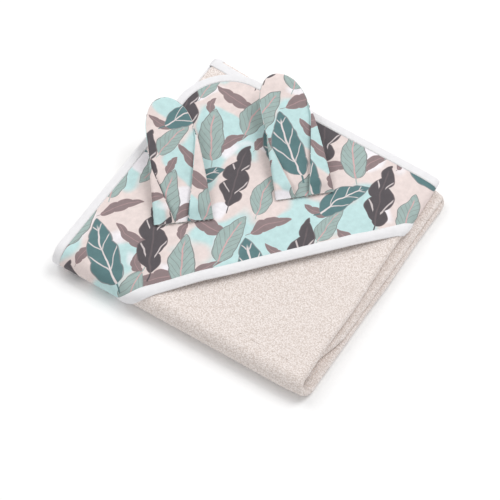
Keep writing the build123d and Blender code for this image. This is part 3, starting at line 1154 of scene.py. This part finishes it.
def ear_point(a, b, face, joint_side):
    """A point of one ear panel: a from -1 to 1 across the flat cloth, b from 0 to 1 along it.

    Face is 1 for the front panel and -1 for the back one. Returns x, y, z and the flat x and y."""
    side = 1 if a > 0 else -1
    half_width = ear_half_width(b)
    over = flap(b, side)
    flat_x = a * (half_width + over)
    length = shape().ear_length
    rim = min(half_width + over - abs(flat_x), (1 - b) * length * 0.9)
    n = face * shape().ear_puff * (1 - exp(-rim / (2.2 * MM)))
    excess = abs(flat_x) - half_width + CREASE_RADIUS
    if over <= 0 or excess <= 0:
        x, z = abs(flat_x), n
    else:
        radius = min(CREASE_RADIUS, 0.9 * (over + CREASE_RADIUS) / pi + 0.2 * MM)
        a_turn = excess / radius
        inner = half_width - CREASE_RADIUS
        if a_turn <= pi:
            x, z = inner + (radius - n) * sin(a_turn), radius - (radius - n) * cos(a_turn)
        else:
            past = excess - pi * radius
            x, z = inner - past, 2 * radius - n + 0.12 * past
    press = SEAM_PRESS + (1 - SEAM_PRESS) * ease(b / 0.1)
    y = b * length
    cup = 2.2 * MM * ease((b - 0.1) / 0.4) * (x / shape().ear_half_width) ** 2
    sway = 1.1 * MM * ripple(side * x, y, 26 * MM, 4.0 + joint_side) * ease(b / 0.2)
    droop = DROOP * b * b
    gather = 1.1 * MM * (1 - ease(b / 0.22)) * (cos(flat_x / (4.4 * MM)) - 0.4)
    sweep = SWEEP * b * b
    sway += 0.7 * MM * ripple(side * x, y * 0.45, 8 * MM, 6.5 + joint_side) * ease(b / 0.12)
    beside = (side * x + 4 * MM) * 0.94 + y * 0.34
    pleat = exp(-abs(beside) / ((2.2 if beside < 0 else 7.0) * MM)) * (1 - ease((b - 0.3) / 0.2))
    sway += 2.0 * MM * pleat * (0.2 + 0.8 * ease(b / 0.1))
    return Vector((side * x + sweep, y, z * press + cup + sway + droop + gather * 0.5)), (flat_x, y)


def ear_panel(name, joint, face, offset, node):
    """One panel of an ear, hung on its joint."""
    across = spaced(-1, (1, 2 / ACROSS_STEPS))
    ups = [sin(k / ALONG_STEPS * pi / 2) for k in range(ALONG_STEPS + 1)]
    bm = grid(across, ups)
    axis = Vector(joint["axis"]).normalized()
    forward = Vector((-axis.y, axis.x, 0))
    tilt = Matrix.Rotation(shape().ear_lift, 4, "X")
    basis = Matrix((axis, forward, Vector((0, 0, 1)))).transposed().to_4x4()
    seat = Matrix.Translation(Vector(joint["pos_m"])) @ basis @ tilt
    joint_side = 1 if joint["pos_m"][0] > 0 else -1

    def flat_at(co):
        _, flat = ear_point(co.x, co.y, face, joint_side)
        return flat[0] * face + offset[0], flat[1] + offset[1]

    write_uv(bm, flat_at)
    for vert in bm.verts:
        point, _ = ear_point(vert.co.x, vert.co.y, face, joint_side)
        vert.co = seat @ point
    bmesh.ops.remove_doubles(bm, verts=bm.verts[:], dist=1e-6)
    if face < 0:
        bmesh.ops.reverse_faces(bm, faces=bm.faces[:])
    piece = thicken(dress(name, bm, "printed_cotton"), TAPE_CLOTH, -1)
    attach(piece, joint["child"])
    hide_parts(node)


class TOWEL_OT_ears(bpy.types.Operator):
    """Stands the two soft ears on the hood, pleated at their seams"""
    bl_idname = "towel.ears"
    bl_label = "Ears"

    def execute(self, context):
        for ear, (front, back) in EAR_PRINTS.items():
            joint = JOINTS[ear + "_fold"]
            ear_panel(ear + "_front_panel", joint, 1, front, ear + "_front")
            ear_panel(ear + "_back_panel", joint, -1, back, ear + "_back")
        return {"FINISHED"}


# ---------------------------------------------------------------- thread


THREAD_HALF = (0.3 * MM, 0.28 * MM)  # half of the thread's width and height


def stitch(bm, a, b, up):
    """One stitch from a to b, sunk half into what it holds."""
    along = b - a
    across = up.cross(along).normalized()
    basis = Matrix((along.normalized(), across, up.normalized())).transposed().to_4x4()
    size = Matrix.Diagonal((along.length / 2, *THREAD_HALF, 1))
    matrix = Matrix.Translation((a + b) / 2) @ basis @ size
    bmesh.ops.create_uvsphere(bm, u_segments=6, v_segments=5, radius=1, matrix=matrix)


def stitch_row(name, route, start, stop, inset, height_at, way, nodes):
    """A row of stitches that follows an edge, this far in from it."""
    bm = bmesh.new()
    pitch, length = shape().stitch_pitch, shape().stitch_length
    count = int(abs(stop - start) / pitch)
    for k in range(count):
        middle = start + (k + 0.5) * (stop - start) / count
        ends = []
        for shift in (-length / 2, length / 2, 0):
            u, v, nu, nv = route(middle + shift)
            u, v = u + nu * inset, v + nv * inset
            ends.append((u, v, height_at(u, v)))
        a, b, centre = (place(*end) for end in ends)
        above = place(ends[2][0], ends[2][1], ends[2][2] + MM)
        stitch(bm, a, b, above - centre)
    bm.loops.layers.uv.new("flat")
    piece = dress(name, bm, "sewing_thread")
    move_with(piece, way)
    if nodes:
        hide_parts(*nodes)


def ear_seam(name, joint, node):
    """The row of stitches that holds an ear to the hood."""
    bm = bmesh.new()
    axis = Vector(joint["axis"]).normalized()
    centre = Vector(joint["pos_m"])
    reach_x = shape().ear_half_width - 1.5 * MM
    pitch, length = shape().stitch_pitch, shape().stitch_length
    count = int(2 * reach_x / pitch)
    for k in range(count):
        x = -reach_x + (k + 0.5) * 2 * reach_x / count
        point = centre + axis * x
        point.z = HOOD_TOP + 0.5 * MM
        a, b = point - axis * length / 2, point + axis * length / 2
        stitch(bm, a, b, Vector((0, 0, 1)))
    bm.loops.layers.uv.new("flat")
    piece = dress(name, bm, "sewing_thread")
    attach(piece, "top_third")
    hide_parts(node)


class TOWEL_OT_stitching(bpy.types.Operator):
    """Sews the rows of stitches along both bindings and at the ears' seams"""
    bl_idname = "towel.stitching"
    bl_label = "Stitching"

    def execute(self, context):
        def side_height(u, v):
            return tape_top(u, v) + 0.1 * MM

        def mouth_height(u, v):
            return hood_face(u, v) + 0.5 * MM

        side = (bound_side, TAPE_WIDTH - 1.2 * MM, side_height)
        mouth = (mouth_edge, MOUTH_WIDTH - 1.3 * MM, mouth_height)
        rows = (
            ("sides", side, end_at(FOLD_START), side_at(ROLL_START), "top_third", ["edge_stitching"]),
            ("outer_fold", side, side_at(ROLL_START), side_at(-ROLL_LENGTH), "roll", []),
            ("mouth_left", mouth, MOUTH_LEFT_X, BRIM_X, "brim_left", ["mouth_stitching"]),
            ("mouth_right", mouth, BRIM_X, MOUTH_RIGHT_X, "brim_right", []),
        )
        for name, (route, inset, height_at), start, stop, way, nodes in rows:
            stitch_row("stitches_" + name, route, start, stop, inset, height_at, way, nodes)
        for ear in ("left_ear", "right_ear"):
            ear_seam("stitches_" + ear, JOINTS[ear + "_fold"], ear + "_stitching")
        return {"FINISHED"}


# ---------------------------------------------------------------- stage


def area_light(name, place_at, size, power):
    """A square soft box that looks at the towel."""
    light = bpy.data.lights.new(name, "AREA")
    light.shape = "SQUARE"
    light.size = size
    light.energy = power
    lamp = bpy.data.objects.new(name, light)
    lamp.location = place_at
    lamp.rotation_euler = (-Vector(place_at)).to_track_quat("-Z", "Y").to_euler()
    bpy.context.scene.collection.objects.link(lamp)


VIEW_AZIMUTH = radians(-13.99)
VIEW_ELEVATION = radians(60.77)
VIEW_DISTANCE = 2.0469
VIEW_AIM = Vector((-0.366 * MM, -1.146 * MM, 0))
VIEW_SHIFT = (3.97 * MM, 19.2 * MM)  # to the left and down, as the camera sees it
LENS = 146.2  # focal length in mm


def add_camera():
    """A long lens that looks down on the packet from in front and a little to its left."""
    azimuth, elevation = VIEW_AZIMUTH, VIEW_ELEVATION
    look = Vector((-sin(azimuth) * cos(elevation), cos(azimuth) * cos(elevation), -sin(elevation)))
    right = Vector((cos(azimuth), sin(azimuth), 0))
    up = right.cross(look)
    camera = bpy.data.cameras.new("camera")
    camera.lens = LENS
    camera.sensor_width = 36
    camera.clip_end = 20
    view = bpy.data.objects.new("camera", camera)
    view.location = VIEW_AIM - look * VIEW_DISTANCE - right * VIEW_SHIFT[0] - up * VIEW_SHIFT[1]
    view.rotation_euler = Matrix((right, up, -look)).transposed().to_euler()
    bpy.context.scene.collection.objects.link(view)
    bpy.context.scene.camera = view


FLOOR_LEVEL = -0.3 * MM  # just under the lowest cloth


class TOWEL_OT_stage(bpy.types.Operator):
    """Sets up the pale floor, the soft light and the camera"""
    bl_idname = "towel.stage"
    bl_label = "Floor, light and camera"

    def execute(self, context):
        add_camera()
        bm = bmesh.new()
        bmesh.ops.create_grid(bm, x_segments=2, y_segments=2, size=4)
        mesh = bpy.data.meshes.new("floor")
        bm.to_mesh(mesh)
        bm.free()
        floor_piece = bpy.data.objects.new("floor", mesh)
        floor_piece.location.z = FLOOR_LEVEL
        material, _, shader = new_material("studio_paper")
        shader.inputs["Base Color"].default_value = linear("#FDFDFD")
        shader.inputs["Roughness"].default_value = 0.9
        shader.inputs["Specular IOR Level"].default_value = 0.1
        mesh.materials.append(material)
        context.scene.collection.objects.link(floor_piece)
        area_light("key", (1.9, 0.9, 3.4), 2.0, 64)
        area_light("fill", (-1.4, 2.4, 3.2), 2.0, 45)
        world = bpy.data.worlds.new("studio")
        world.use_nodes = True
        background = world.node_tree.nodes["Background"].inputs
        background["Color"].default_value = (1, 1, 1, 1)
        background["Strength"].default_value = 0.60
        context.scene.world = world
        context.scene.view_settings.view_transform = "Standard"
        return {"FINISHED"}


class TOWEL_PT_panel(bpy.types.Panel):
    """Lists the steps that dress the towel"""
    bl_idname = "TOWEL_PT_panel"
    bl_label = "Hooded towel"
    bl_space_type = "VIEW_3D"
    bl_region_type = "UI"
    bl_category = "Towel"

    def draw(self, context):
        for operator in OPERATORS:
            self.layout.operator(operator.bl_idname)
        for group in (context.scene.towel_shape, context.scene.towel_colours):
            for key in group.bl_rna.properties.keys():
                if key not in ("rna_type", "name"):
                    self.layout.prop(group, key)


OPERATORS = (
    TOWEL_OT_lower_thirds,
    TOWEL_OT_top_third,
    TOWEL_OT_outer_fold,
    TOWEL_OT_side_binding,
    TOWEL_OT_hood,
    TOWEL_OT_mouth_binding,
    TOWEL_OT_ears,
    TOWEL_OT_stitching,
    TOWEL_OT_stage,
)
CLASSES = (TowelShape, TowelColours, *OPERATORS, TOWEL_PT_panel)


def register():
    for cls in CLASSES:
        bpy.utils.register_class(cls)
    bpy.types.Scene.towel_shape = bpy.props.PointerProperty(type=TowelShape)
    bpy.types.Scene.towel_colours = bpy.props.PointerProperty(type=TowelColours)


def unregister():
    del bpy.types.Scene.towel_colours
    del bpy.types.Scene.towel_shape
    for cls in reversed(CLASSES):
        bpy.utils.unregister_class(cls)


def main():
    register()
    for operator in OPERATORS:
        group, name = operator.bl_idname.split(".")
        getattr(getattr(bpy.ops, group), name)()


if __name__ == "__main__":
    main()
